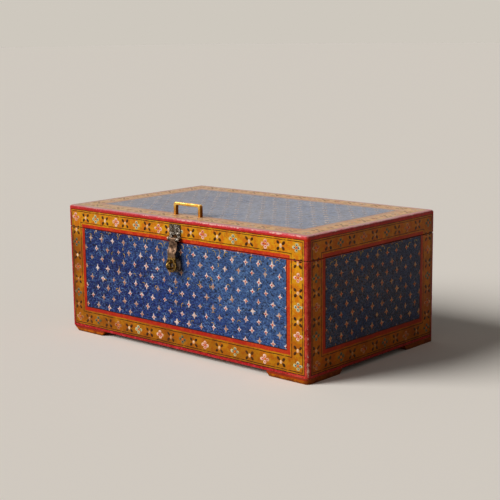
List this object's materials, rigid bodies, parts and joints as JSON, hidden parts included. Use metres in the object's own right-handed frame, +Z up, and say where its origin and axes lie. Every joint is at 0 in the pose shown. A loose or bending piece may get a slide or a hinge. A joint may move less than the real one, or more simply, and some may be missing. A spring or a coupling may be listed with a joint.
{
  "type": "painted wooden chest",
  "caption": "Small painted wooden box chest with a skirted lid on back hinges, a strap hasp and staple in front, a brass pull on the lid and low corner feet.",
  "frame": {"origin": "on the floor, at the middle of the whole chest's envelope, fittings included", "axes": "+X runs along the front to the right, +Y from the front to the back, +Z up"},
  "size_m": [0.406, 0.2696, 0.1846],
  "materials": {
    "blue_paint": "hand-painted cobalt blue, worn",
    "yellow_paint": "hand-painted ochre yellow, worn",
    "bare_wood": "aged, unpainted",
    "iron": "forged, dark, rubbed bright at edges",
    "engraved_plate": "engraved, tarnished",
    "brass": "cast, tarnished, polished by hands"
  },
  "bodies": {
    "chest": {"front_board": "blue_paint", "back_board": "blue_paint", "left_board": "blue_paint", "right_board": "blue_paint", "bottom_board": "bare_wood", "bottom_nails": "iron", "foot_front_left": "yellow_paint", "foot_front_right": "yellow_paint", "foot_back_left": "yellow_paint", "foot_back_right": "yellow_paint", "foot_nails": "iron", "hinge_left_carcase_leaf": "iron", "hinge_left_pin": "iron", "hinge_right_carcase_leaf": "iron", "hinge_right_pin": "iron", "hinge_carcase_screws": "iron", "staple": "brass", "staple_rose": "iron"},
    "lid": {"lid_top_board": "blue_paint", "lid_front_rail": "yellow_paint", "lid_back_rail": "yellow_paint", "lid_left_rail": "yellow_paint", "lid_right_rail": "yellow_paint", "lid_nails": "iron", "hinge_left_lid_leaf": "iron", "hinge_right_lid_leaf": "iron", "hinge_lid_screws": "iron", "hasp_plate": "engraved_plate", "hasp_plate_nails": "iron", "hasp_pin": "iron", "pull": "brass", "pull_screws": "brass", "pull_washers": "brass"},
    "strap": {"hasp_strap": "iron"}
  },
  "joints": [
    {"name": "lid_hinge", "type": "hinge", "parent": "chest", "child": "lid", "pos_m": [0, 0.13223, 0.1406], "axis": [-1, 0, 0], "range_deg": [0, 105]},
    {"name": "hasp_hinge", "type": "hinge", "parent": "lid", "child": "strap", "pos_m": [-0.003, -0.12033, 0.1445], "axis": [-1, 0, 0], "range_deg": [0, 150]}
  ]
}
